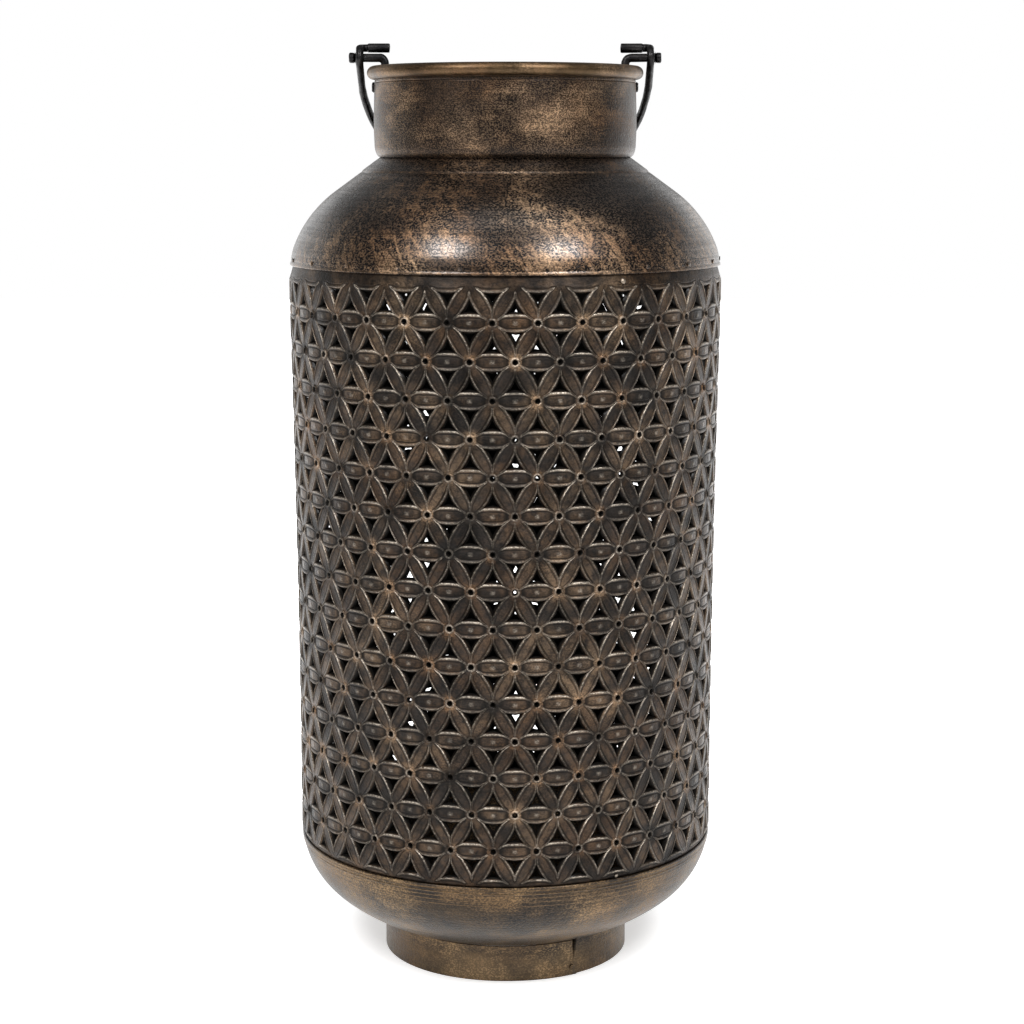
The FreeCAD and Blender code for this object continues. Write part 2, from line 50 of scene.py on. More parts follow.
# A value in a node tree that can be added, multiplied and compared like a number
class Signal:
    def __init__(self, tree, socket):
        self.tree = tree
        self.socket = socket

    def maths(self, operation, *others, clamp=False):
        node = self.tree.nodes.new("ShaderNodeMath")
        node.operation = operation
        node.use_clamp = clamp
        for slot, value in zip(node.inputs, (self,) + others):
            plug(self.tree, slot, value)
        return Signal(self.tree, node.outputs[0])

    def __add__(self, other):
        return self.maths("ADD", other)

    def __radd__(self, other):
        return self.maths("ADD", other)

    def __sub__(self, other):
        return self.maths("SUBTRACT", other)

    def __rsub__(self, other):
        node = self.tree.nodes.new("ShaderNodeValue")
        node.outputs[0].default_value = other
        return Signal(self.tree, node.outputs[0]).maths("SUBTRACT", self)

    def __mul__(self, other):
        return self.maths("MULTIPLY", other)

    def __rmul__(self, other):
        return self.maths("MULTIPLY", other)

    def __truediv__(self, other):
        return self.maths("DIVIDE", other)

    def __mod__(self, other):
        return self.maths("FLOORED_MODULO", other)

    def __abs__(self):
        return self.maths("ABSOLUTE")

    def clamped(self):
        return self.maths("ADD", 0, clamp=True)

    def most(self, other):
        return self.maths("MAXIMUM", other)

    # The same value squeezed into the range from least to 1
    def over(self, least):
        return least + (1 - least) * self

    # A soft step from 0 at low to 1 at high
    def rise(self, low, high):
        node = self.tree.nodes.new("ShaderNodeMapRange")
        node.interpolation_type = "SMOOTHSTEP"
        for name, value in (("Value", self), ("From Min", low), ("From Max", high)):
            plug(self.tree, node.inputs[name], value)
        return Signal(self.tree, node.outputs[0])

    def fall(self, low, high):
        return 1 - self.rise(low, high)


def plug(tree, slot, value):
    if isinstance(value, Signal):
        tree.links.new(value.socket, slot)
    else:
        slot.default_value = value


# One node with its settings and inputs; gives back the named output, if it has any
def knot(tree, kind, inputs=None, output=0, **settings):
    node = tree.nodes.new(kind)
    for name, value in settings.items():
        setattr(node, name, value)
    for name, value in (inputs or {}).items():
        plug(tree, node.inputs[name], value)
    return Signal(tree, node.outputs[output]) if node.outputs else None


# The three parts of a vector
def axes(vector):
    split = vector.tree.nodes.new("ShaderNodeSeparateXYZ")
    plug(vector.tree, split.inputs[0], vector)
    return [Signal(vector.tree, out) for out in split.outputs]


# Two colours, each a value or a signal, mixed by a factor
def blended(tree, factor, first, second):
    node = tree.nodes.new("ShaderNodeMix")
    node.data_type = "RGBA"
    plug(tree, node.inputs[0], factor)
    for slot, colour in ((6, first), (7, second)):
        plug(tree, node.inputs[slot], colour if isinstance(colour, Signal) else (*colour, 1))
    return Signal(tree, node.outputs[2])


def pieceFromMesh(name, build):
    work = bmesh.new()
    build(work)
    mesh = bpy.data.meshes.new(name)
    work.to_mesh(mesh)
    work.free()
    thing = bpy.data.objects.new(name, mesh)
    scene.collection.objects.link(thing)
    return thing


def shadeByAngle(thing, degrees):
    mesh = thing.data
    mesh.shade_smooth()
    mesh.set_sharp_from_angle(angle=math.radians(degrees))


def finished(thing, material, body, slotName, *nodes):
    thing.data.materials.clear()
    thing.data.materials.append(material)
    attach(thing, body)
    if nodes:
        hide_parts(*nodes)
    print("finished", thing.name, len(thing.data.polygons))
    return thing


# A closed outline of (radius, height) points in millimetres, turned about the z axis
def lathe(name, outline, steps):
    def build(work):
        rings = []
        for step in range(steps):
            turn = 2 * math.pi * step / steps
            rings.append([
                work.verts.new((radius * math.sin(turn) * mm, -radius * math.cos(turn) * mm, height * mm))
                for radius, height in outline])
        for step in range(steps):
            here, there = rings[step], rings[(step + 1) % steps]
            for index in range(len(outline)):
                following = (index + 1) % len(outline)
                work.faces.new((here[index], here[following], there[following], there[index]))
        bmesh.ops.remove_doubles(work, verts=work.verts, dist=weldWithin)
        bmesh.ops.recalc_face_normals(work, faces=work.faces)
    return pieceFromMesh(name, build)


def arcPoints(centre, radius, start, end, count):
    points = []
    for step in range(count + 1):
        turn = math.radians(start + (end - start) * step / count)
        points.append((centre[0] + radius * math.cos(turn), centre[1] + radius * math.sin(turn)))
    return points


# A smooth line through points, by Catmull and Rom's rule
def flowing(points, count):
    def between(a, b, c, d, t):
        square = 2 * a - 5 * b + 4 * c - d
        cube = 3 * b - a - 3 * c + d
        return 0.5 * (2 * b + (c - a) * t + square * t * t + cube * t ** 3)

    line = []
    for index in range(len(points) - 1):
        before = points[max(index - 1, 0)]
        here, there = points[index], points[index + 1]
        after = points[min(index + 2, len(points) - 1)]
        for step in range(count):
            line.append(tuple(
                between(*four, step / count) for four in zip(before, here, there, after)))
    return line + [tuple(points[-1])]


# Noise shared by the metals: size, detail, roughness, stretch and shift, then its soft step's low and high
sharedClouds = {
    "shade": ((60.0, 4.0, 0.7, (1, 1, 1), 9.0), (0.3, 0.75)),
    "copper": ((22.0, 3.0, 0.5, (1, 1, 1), 5.0), (0.35, 0.7)),
    "uneven": ((95.0, 3.0, 0.6, (1, 1, 1), 8.0), (0.36, 0.6)),
    "gilt": ((36.0, 1.0, 0.5, (1, 1, 0.8), 13.0), (0.5, 0.62)),
    "streaks": ((210.0, 4.0, 0.7, (1, 1, 1), 17.0), (0.3, 0.66)),
    "soil": ((48.0, 3.0, 0.6, (1, 1, 1), 21.0), (0.4, 0.62))}
grainMist = (700.0, 3.0, 0.6, (1, 1, 1), 2.0)
dentMist = (2.0, 0.5, (1, 1, 1), 4.0)

# Where the marks on a strap begin and end on its chart, as the low and high of soft steps
strapMarks = {
    "level": (1.4, 1.6), "upward": (0.0, 0.22), "hidden": (1.06, 1.14), "nearNode": (0.15, 0.62),
    "edgeIn": (0.68, 0.84), "edgeOut": (0.95, 1.02), "edgeStart": (0.06, 0.3),
    "pipAlong": (0.84, 0.98), "pipAcross": (0.06, 0.34), "ringIn": (0.0, 0.02), "ringOut": (0.06, 0.14),
    "dipIn": (0.14, 0.26), "dipOut": (0.36, 0.6), "dipAcross": (0.6, 0.9),
    "grooveIn": (0.4, 0.54), "grooveOut": (0.58, 0.7), "grooveStart": (0.2, 0.45)}
strapRelief = {"edge": 0.6, "pip": 0.35, "ring": 0.4, "groove": -0.5}
# How much edges, rings and pips are rubbed pale; the upward share is a painted highlight on edges that face up
strapRubAndHighlight = {"edge": 0.3, "uneven": 0.55, "level": 0.15, "sideways": 0.36, "upward": 0.8, "ring": 0.55,
            "pip": 0.35}
# How dark the straps are painted: painted shade in the dips at the level straps' ends, darker along the grooves,
# and soil near the nodes
strapShadeAndSoot = {"dip": 0.85, "groove": 0.55, "levelGroove": 0.2, "soil": 0.6}
strapTarnish = {"streaks": 0.2, "gilt": 0.6, "worn": 0.3}
roughShares = {"speckle": 0.14, "worn": 0.08, "shadeAndSoot": 0.4}


# The relief, rubbed edges, tarnish and soil of the straps, with a painted highlight on the rubbed
# edges that face up, painted shade on the hidden back, the hole walls and the dips at the level
# straps' ends, and darkening along the grooves. Their chart's x runs from a node at 0 to mid strap at 1,
# with 2 added on level straps, and its y from the centre line at 0 to the edge at 1.
def strapSurface(tree, sharedCloud, speckle):
    chartX, across = axes(knot(tree, "ShaderNodeUVMap", output="UV", uv_map="petal"))[:2]
    facing = axes(knot(tree, "ShaderNodeTexCoord", output="Normal"))
    level = chartX.rise(*strapMarks["level"])
    along = chartX % 2
    upward = facing[2].rise(*strapMarks["upward"])
    uneven, gilt, streaks, soil = (sharedCloud(key) for key in ("uneven", "gilt", "streaks", "soil"))
    nearNode = along.fall(*strapMarks["nearNode"])
    gilt = gilt * nearNode
    edge = (across.rise(*strapMarks["edgeIn"]) * across.fall(*strapMarks["edgeOut"])
            * along.rise(*strapMarks["edgeStart"]))
    pip = level * along.rise(*strapMarks["pipAlong"]) * across.fall(*strapMarks["pipAcross"])
    ring = along.rise(*strapMarks["ringIn"]) * along.fall(*strapMarks["ringOut"])
    dip = (level * along.rise(*strapMarks["dipIn"]) * along.fall(*strapMarks["dipOut"])
           * across.fall(*strapMarks["dipAcross"]))
    groove = (across.rise(*strapMarks["grooveIn"]) * across.fall(*strapMarks["grooveOut"])
              * along.rise(*strapMarks["grooveStart"]))
    relief = (strapRelief["edge"] * edge + strapRelief["pip"] * pip + strapRelief["ring"] * ring
              + strapRelief["groove"] * groove)
    edgeShare = strapRubAndHighlight["edge"] + strapRubAndHighlight["uneven"] * uneven + strapRubAndHighlight["level"] * level
    lightShare = strapRubAndHighlight["sideways"] + strapRubAndHighlight["upward"] * upward
    # Rubbed pale edges, lighter where they face up as a painted highlight
    rubbedAndLit = (edgeShare * edge * lightShare + strapRubAndHighlight["ring"] * ring * uneven
              + strapRubAndHighlight["pip"] * pip).clamped() * speckle.over(0.35)
    tarnish = strapTarnish["streaks"] * streaks * (1 - soil) + strapTarnish["gilt"] * gilt * speckle.over(0.35)
    grooveDark = (strapShadeAndSoot["groove"] + strapShadeAndSoot["levelGroove"] * level) * groove
    nodeSoot = strapShadeAndSoot["soil"] * soil * nearNode.over(0.35) * (1 - gilt)
    # Near black: painted shade on the hidden back, the hole walls and in the dips, darker along the grooves, and
    # soil near the nodes
    shadeAndSoot = across.rise(*strapMarks["hidden"]).most(strapShadeAndSoot["dip"] * dip).most(grooveDark).most(nodeSoot)
    return relief, rubbedAndLit, tarnish, shadeAndSoot


# A dark metal rubbed through to copper in patches and strokes, with speckle and spinning lines
def antiqueMetal(name, dark, copper, look):
    material = bpy.data.materials.new(name)
    material.use_nodes = True
    tree = material.node_tree
    tree.nodes.clear()
    place = knot(tree, "ShaderNodeTexCoord", output="Object")
    east, north, height = axes(place)
    twist = height * look["twist"]
    swirled = knot(tree, "ShaderNodeCombineXYZ", {
        "X": east * twist.maths("COSINE") - north * twist.maths("SINE"),
        "Y": east * twist.maths("SINE") + north * twist.maths("COSINE"), "Z": height})

    def mist(size, detail, roughness, stretch, shift, base=place):
        scaled = knot(tree, "ShaderNodeVectorMath", {0: base, 1: stretch}, operation="MULTIPLY")
        moved = knot(tree, "ShaderNodeVectorMath", {0: scaled, 1: (shift, shift * 0.7, shift * 1.3)},
                     operation="ADD")
        return knot(tree, "ShaderNodeTexNoise", {
            "Vector": moved, "Scale": size, "Detail": detail, "Roughness": roughness}, output="Fac")

    def sharedCloud(key):
        shape, step = sharedClouds[key]
        return mist(*shape).rise(*step)

    patches = mist(look["patchSize"], 3.0, 0.6, look["stretch"], look["seed"]).rise(
        look["patchLow"], look["patchHigh"])
    strokes = mist(look["strokeSize"], 5.0, 0.65, look["strokeStretch"], look["seed"] + 3, swirled).rise(
        look["strokeLow"], look["strokeHigh"])
    speckle = mist(look["speckleSize"], 1.5, 0.6, (1, 1, 1.5), 1.0).rise(0.46, 0.6)
    spinLines = mist(1.0, 2.0, 0.7, (12.0, 12.0, look["spinScale"]), 6.0).rise(0.35, 0.6)
    dust = look["dust"] * patches.over(0.35) * speckle
    worn = (patches * strokes * speckle.over(0.4) + dust) * spinLines.over(1 - look["spinRub"])
    # Bright lines at the given heights: rubbed copper, with a painted highlight along the ridges and lips
    for line, half, strength in look["lines"]:
        rubbedAndLitLine = abs(height - line * mm).fall(half * 0.4 * mm, half * mm)
        worn = worn.most(rubbedAndLitLine * strength * speckle.over(0.5) * strokes.over(0.4))
    worn = (worn * look["worn"]).clamped()
    bumped = mist(*grainMist) * look["grain"] + mist(look["dentSize"], *dentMist) * look["dent"]
    if look["spin"]:
        spin = knot(tree, "ShaderNodeTexNoise", {
            "W": height * look["spinScale"], "Scale": 1.0, "Detail": 3.0, "Roughness": 0.7},
            output="Fac", noise_dimensions="1D")
        bumped = bumped + spin * look["spin"]
    if look["straps"]:
        relief, rubbedAndLit, tarnish, shadeAndSoot = strapSurface(tree, sharedCloud, speckle)
        worn = (worn * strapTarnish["worn"] + tarnish).clamped()
        bumped = bumped + relief
    colour = blended(tree, worn, blended(tree, sharedCloud("shade"), *dark),
                     blended(tree, sharedCloud("copper"), *copper))
    rough = look["rough"] + roughShares["speckle"] * (speckle - 0.5) + roughShares["worn"] * worn
    if look["straps"]:
        # Pale bronze on the rubbed edges and their painted highlight
        colour = blended(tree, rubbedAndLit, colour, paleBronzeAndHighlight)
        # Near black for the painted shade and the soil
        colour = blended(tree, shadeAndSoot, colour, shadeAndSootBlack)
        rough = rough + roughShares["shadeAndSoot"] * shadeAndSoot
    normal = knot(tree, "ShaderNodeBump", {"Height": bumped, "Strength": look["bump"], "Distance": mm},
                  output="Normal")
    coat = look["coat"] * speckle.over(0.35) * spinLines.over(0.5)
    surface = knot(tree, "ShaderNodeBsdfPrincipled", {
        "Base Color": colour, "Roughness": rough.clamped(), "Normal": normal, "Coat Weight": coat.clamped(),
        "Metallic": look["metallic"], "Coat Roughness": look["coatRough"]})
    knot(tree, "ShaderNodeOutputMaterial", {"Surface": surface})
    return material


ironDark = ((0.004, 0.0034, 0.003), (0.019, 0.0135, 0.0105))
bronzeDark = ((0.0045, 0.004, 0.0038), (0.021, 0.017, 0.0145))
bowlDark = ((0.010, 0.0105, 0.0115), (0.036, 0.026, 0.017))
rimDark = ((0.032, 0.020, 0.010), (0.075, 0.047, 0.022))
wireDark = ((0.008, 0.008, 0.009), (0.030, 0.028, 0.027))
solderGrey = ((0.18, 0.15, 0.12), (0.30, 0.26, 0.21))
copperRub = ((0.16, 0.088, 0.044), (0.34, 0.225, 0.135))
brassRub = ((0.19, 0.115, 0.054), (0.31, 0.205, 0.105))
paleBronzeAndHighlight = (0.42, 0.365, 0.30)
# Near black, for painted shade and for soil
shadeAndSootBlack = (0.006, 0.005, 0.004)

# Lines are painted bright at a height: rubbed copper, and on the ridges and lips also a painted highlight. Each
# has its half width and strength, in millimetres
baseLook = {
    "patchSize": 14.0, "patchLow": 0.42, "patchHigh": 0.62, "stretch": (1, 1, 1.6), "seed": 0.0,
    "strokeSize": 45.0, "strokeStretch": (1, 1, 1), "strokeLow": 0.4, "strokeHigh": 0.62, "twist": 0.0,
    "worn": 1.0, "dust": 0.25, "speckleSize": 820.0, "spinRub": 0.3, "spin": 0.25, "spinScale": 900.0,
    "grain": 0.35, "dentSize": 60.0, "dent": 0.8, "bump": 0.5, "rough": 0.34, "metallic": 0.92,
    "coat": 0.25, "coatRough": 0.2, "straps": False, "lines": ()}
shoulderLook = {
    **baseLook, "patchLow": 0.4, "strokeSize": 46.0, "strokeStretch": (3.6, 3.6, 1.15), "strokeLow": 0.5,
    "strokeHigh": 0.58, "twist": 4.5, "worn": 0.9, "dust": 0.68, "spinRub": 0.4, "grain": 0.7,
    "coat": 0.9, "coatRough": 0.26, "lines": ((484.34, 0.8, 0.8), (429.6, 0.9, 1.0))}
neckLook = {
    **baseLook, "patchSize": 18.0, "patchLow": 0.4, "patchHigh": 0.66, "seed": 7.0,
    "strokeStretch": (0.7, 0.7, 1.6), "worn": 0.78, "dust": 0.8, "speckleSize": 1150.0, "grain": 0.8,
    "rough": 0.4, "coat": 0.2}
bowlLook = {
    **baseLook, "patchSize": 17.0, "patchLow": 0.36, "seed": 11.0, "strokeSize": 30.0,
    "strokeStretch": (1, 1, 1.2), "strokeLow": 0.36, "strokeHigh": 0.6, "worn": 0.84, "dust": 0.42,
    "spinRub": 0.45, "grain": 0.7, "rough": 0.38,
    "lines": ((74.4, 0.5, 1.0), (72.0, 0.5, 1.0), (69.6, 0.35, 1.0), (67.0, 0.35, 1.0), (64.2, 0.35, 1.0),
              (6.0, 16.0, 0.8))}
rimLook = {
    **baseLook, "patchLow": 0.3, "patchHigh": 0.55, "seed": 3.0, "worn": 0.7, "spin": 0.0, "rough": 0.46,
    "coat": 0.1}
latticeLook = {
    **baseLook, "straps": True, "seed": 5.0, "worn": 0.9, "spinRub": 0.0, "spin": 0.0, "grain": 0.45,
    "dent": 0.35, "bump": 0.7, "rough": 0.42, "coat": 0.15}
wireLook = {
    **baseLook, "seed": 2.0, "worn": 0.3, "spin": 0.0, "dentSize": 160.0, "dent": 1.0, "rough": 0.42,
    "coat": 0.1}
solderLook = {**baseLook, "worn": 0.3, "spin": 0.0, "rough": 0.45}

shoulderMetal = antiqueMetal("blackened shoulder copper", ironDark, copperRub, shoulderLook)
neckMetal = antiqueMetal("speckled neck copper", ironDark, copperRub, neckLook)
bowlMetal = antiqueMetal("brown bowl brass", bowlDark, brassRub, bowlLook)
rimMetal = antiqueMetal("golden rim brass", rimDark, copperRub, rimLook)
latticeMetal = antiqueMetal("petal lattice bronze", bronzeDark, copperRub, latticeLook)
wireIron = antiqueMetal("hand bent iron", wireDark, ironDark, wireLook)
solderMetal = antiqueMetal("dull solder", solderGrey, copperRub, solderLook)
print("metals", len(bpy.data.materials))


# Tucks bend the sheet inwards behind its neighbours: where they start, their length and depth
sleeve = {
    "waist": 128.2, "flare": 2.7, "flareStart": 120.0, "columns": 64, "rows": 16, "rowPitch": 21.75,
    "firstRow": 76.3, "turn": -3.04, "thick": 2.4, "hole": 1.5, "holeHeight": -0.6, "holeInside": 0.8,
    "ringCrest": 2.2, "crestHeight": -0.2, "ringFoot": 3.1, "footHeights": (-0.75, -0.85),
    "stemAlong": 4.8, "stemCorner": 1.1, "cornerAlong": 7.3, "cornerOver": 7.35, "cornerUp": 4.75,
    "cornerDown": 7.9, "levelHalf": 5.1, "slantHalf": 4.35, "burr": 1.25, "cornerBurr": 0.36,
    "plain": -0.35, "upperBand": (4.3, 12.6), "lowerBand": (-4.9, -9.8), "weld": 0.00002, "crease": 50,
    "topTucks": ((421.05, 7.55, 2.2), (428.6, 8.4, 1.7)), "footTucks": ((79.5, 3.2, 1.5), (76.3, 9.8, 2.3))}
halfPitch = 2 * math.pi * sleeve["waist"] / sleeve["columns"]
flat = sleeve["plain"]
fractions = (0.0, 0.5, 0.84, 1.0)

# Heights against the crest at those fractions across a half strap: near its node, at the opening's
# corner and mid strap
strapHeights = {
    "border": ((flat, flat, flat, flat), (flat, flat, 0.0, -0.5), (flat, flat, 0.0, -0.4)),
    "besideBorder": ((flat, flat, flat, flat), (flat, flat, 0.0, -0.5), (-0.3, -0.42, 0.0, -0.35)),
    "level": ((-1.1, -1.1, -1.05, -1.0), (-0.5, -0.5, -0.05, -0.75), (-0.1, -0.42, 0.0, -0.35)),
    "slant": ((-0.5, -0.5, -0.5, -1.0), (-0.32, -0.38, 0.0, -0.75), (-0.3, -0.42, 0.0, -0.35))}

# Places on the chart of what has no strap of its own, and of the rings round the holes
chartPlaces = {"hidden": (1.0, 1.3), "burr": (1.0, 1.04), "band": (0.9, 0.45), "levelStart": 2.0,
               "borderStart": 0.66, "crest": 0.045, "foot": 0.13}


# The half straps of one triangle between three nodes, as relief outside and plain sheet inside.
# Corners named in plain lie on the border, where there is no hole and the strap is flat.
def latticeTriangle(work, chart, corners, plain=()):
    sheet = -sleeve["thick"]

    def vertex(point, relief):
        return work.verts.new((point[0], point[1], relief))

    def face(verts, spots):
        made = work.faces.new(verts)
        for loop, spot in zip(made.loops, spots):
            loop[chart].uv = spot

    centre = Vector((sum(c[0] for c in corners) / 3, sum(c[1] for c in corners) / 3))
    tall = 1 if corners[2][1] > corners[0][1] else -1
    over = Vector((sleeve["cornerOver"], tall * sleeve["cornerUp"]))
    openingCorners = (Vector(corners[0]) + over, Vector(corners[1]) + Vector((-over.x, over.y)),
                      Vector(corners[2]) - Vector((0, tall * sleeve["cornerDown"])))
    for side in range(3):
        level = side == 0
        for here, there in ((side, (side + 1) % 3), ((side + 1) % 3, side)):
            node, far = Vector(corners[here]), Vector(corners[there])
            middle = (node + far) / 2
            outward = (far - node).normalized()
            bisector = (centre - node).normalized()
            inward = (centre - middle).normalized()
            half = (middle - node).length
            toCorner = (openingCorners[here] - node).normalized()
            onBorder = here in plain
            borderStrap = onBorder and there in plain
            chartStart = chartPlaces["levelStart"] if level and not borderStrap else 0.0

            def spot(share, fraction):
                return (chartStart + (max(share, chartPlaces["borderStart"]) if onBorder else share), fraction)

            def station(centreline, boundary, heights, share):
                return [(vertex(centreline.lerp(boundary, fraction), relief), spot(share, fraction))
                        for fraction, relief in zip(fractions, heights)]

            def patch(*items):
                face([item[0] for item in items], [item[1] for item in items])

            if onBorder:
                kind = "border" if borderStrap else "besideBorder"
            else:
                kind = "level" if level else "slant"
            stemHeights, cornerHeights, midHeights = strapHeights[kind]
            reach = sleeve["levelHalf"] if level else sleeve["slantHalf"]
            stemReach, cornerReach = sleeve["stemAlong"], sleeve["cornerAlong"]
            stem = station(node + outward * stemReach, node + toCorner * stemReach * sleeve["stemCorner"],
                           stemHeights, stemReach / half)
            corner = station(node + outward * cornerReach, openingCorners[here],
                             cornerHeights, cornerReach / half)
            mid = station(middle, middle + inward * reach, midHeights, 1.0)
            if onBorder:
                heart = (vertex(node, flat), spot(0.0, 0.0))
                for step in range(3):
                    patch(heart, stem[step], stem[step + 1])
                backStart = [vertex(node, sheet)]
            else:
                ways = ((outward, 0.0), (bisector, 1.0))
                edge = [(vertex(node + way * sleeve["hole"], sleeve["holeHeight"]), spot(0.0, across))
                        for way, across in ways]
                crest = [(vertex(node + way * sleeve["ringCrest"], sleeve["crestHeight"]),
                          spot(chartPlaces["crest"], across)) for way, across in ways]
                foot = [(vertex(node + way * sleeve["ringFoot"], height), spot(chartPlaces["foot"], across))
                        for (way, across), height in zip(ways, sleeve["footHeights"])]
                patch(edge[0], crest[0], crest[1], edge[1])
                patch(crest[0], foot[0], foot[1], crest[1])
                patch(foot[0], stem[0], stem[1])
                patch(foot[0], stem[1], foot[1])
                patch(foot[1], stem[1], stem[2])
                patch(foot[1], stem[2], stem[3])
                backStart = [vertex(node + way * sleeve["holeInside"], sheet) for way in (outward, bisector)]
            for near, away in ((stem, corner), (corner, mid)):
                for step in range(3):
                    patch(near[step], away[step], away[step + 1], near[step + 1])
            burrShare = sleeve["burr"] * sleeve["cornerBurr"]
            backCorner = vertex(openingCorners[here].lerp(centre, burrShare), sheet)
            backMid = vertex(middle + inward * (reach + sleeve["burr"]), sheet)
            ring = backStart + [backCorner, backMid, vertex(middle, sheet)]
            hidden, burr = chartPlaces["hidden"], chartPlaces["burr"]
            face(ring, [hidden] * len(ring))
            face([corner[3][0], backCorner, backMid, mid[3][0]], [burr, hidden, hidden, burr])


# One pitch of straps: a triangle standing on its row line and one hanging from the next
def petalBuilder(standingPlain, hangingPlain):
    def build(work):
        chart = work.loops.layers.uv.new("petal")
        pitch, rise = 2 * halfPitch, sleeve["rowPitch"]
        latticeTriangle(work, chart, ((-halfPitch, 0), (halfPitch, 0), (0, rise)), standingPlain)
        latticeTriangle(work, chart, ((0, rise), (pitch, rise), (halfPitch, 0)), hangingPlain)
    return build


# The inner wall of a node's hole
def buildEyelet(work):
    chart = work.loops.layers.uv.new("petal")
    rise = sleeve["rowPitch"]
    half = [Vector((1, 0)), Vector((halfPitch, rise / 3)).normalized(), Vector((halfPitch, rise)).normalized(),
            Vector((0, 1)), Vector((-halfPitch, rise)).normalized(), Vector((-halfPitch, rise / 3)).normalized()]
    directions = half + [-way for way in half]
    outer = [work.verts.new((*(way * sleeve["hole"]), sleeve["holeHeight"])) for way in directions]
    inner = [work.verts.new((*(way * sleeve["holeInside"]), -sleeve["thick"])) for way in directions]
    for step in range(len(directions)):
        following = (step + 1) % len(directions)
        made = work.faces.new((outer[step], outer[following], inner[following], inner[step]))
        for loop in made.loops:
            loop[chart].uv = chartPlaces["hidden"]


# One pitch of the flat band beyond the last row line; the heights go up for the upper band
def bandBuilder(heights):
    def build(work):
        chart = work.loops.layers.uv.new("petal")
        stops = (-halfPitch, -sleeve["cornerAlong"], -sleeve["stemAlong"], 0,
                 sleeve["stemAlong"], sleeve["cornerAlong"], halfPitch)
        backStops = (-halfPitch, 0, halfPitch)

        def quad(corners):
            made = work.faces.new(corners)
            for loop in made.loops:
                loop[chart].uv = chartPlaces["band"]

        for places, relief in ((stops, flat), (backStops, -sleeve["thick"])):
            rows = [[work.verts.new((x, height, relief)) for x in places] for height in (0, *heights)]
            for low, high in zip(rows[:-1], rows[1:]):
                for step in range(len(places) - 1):
                    quad((low[step], low[step + 1], high[step + 1], high[step]))
            if places is stops:
                frontLast = rows[-1]
        quad(frontLast[:4] + rows[-1][:2][::-1])
        quad(frontLast[3:] + rows[-1][1:][::-1])
    return build


cells = {
    "Petals": pieceFromMesh("strap pair", petalBuilder((), ())),
    "Lowest petals": pieceFromMesh("lowest strap pair", petalBuilder((0, 1), (2,))),
    "Highest petals": pieceFromMesh("highest strap pair", petalBuilder((2,), (0, 1))),
    "Eyelet": pieceFromMesh("eyelet", buildEyelet),
    "Upper band": pieceFromMesh("upper band", bandBuilder(sleeve["upperBand"])),
    "Lower band": pieceFromMesh("lower band", bandBuilder(sleeve["lowerBand"]))}
print("cells", [len(cell.data.polygons) for cell in cells.values()])


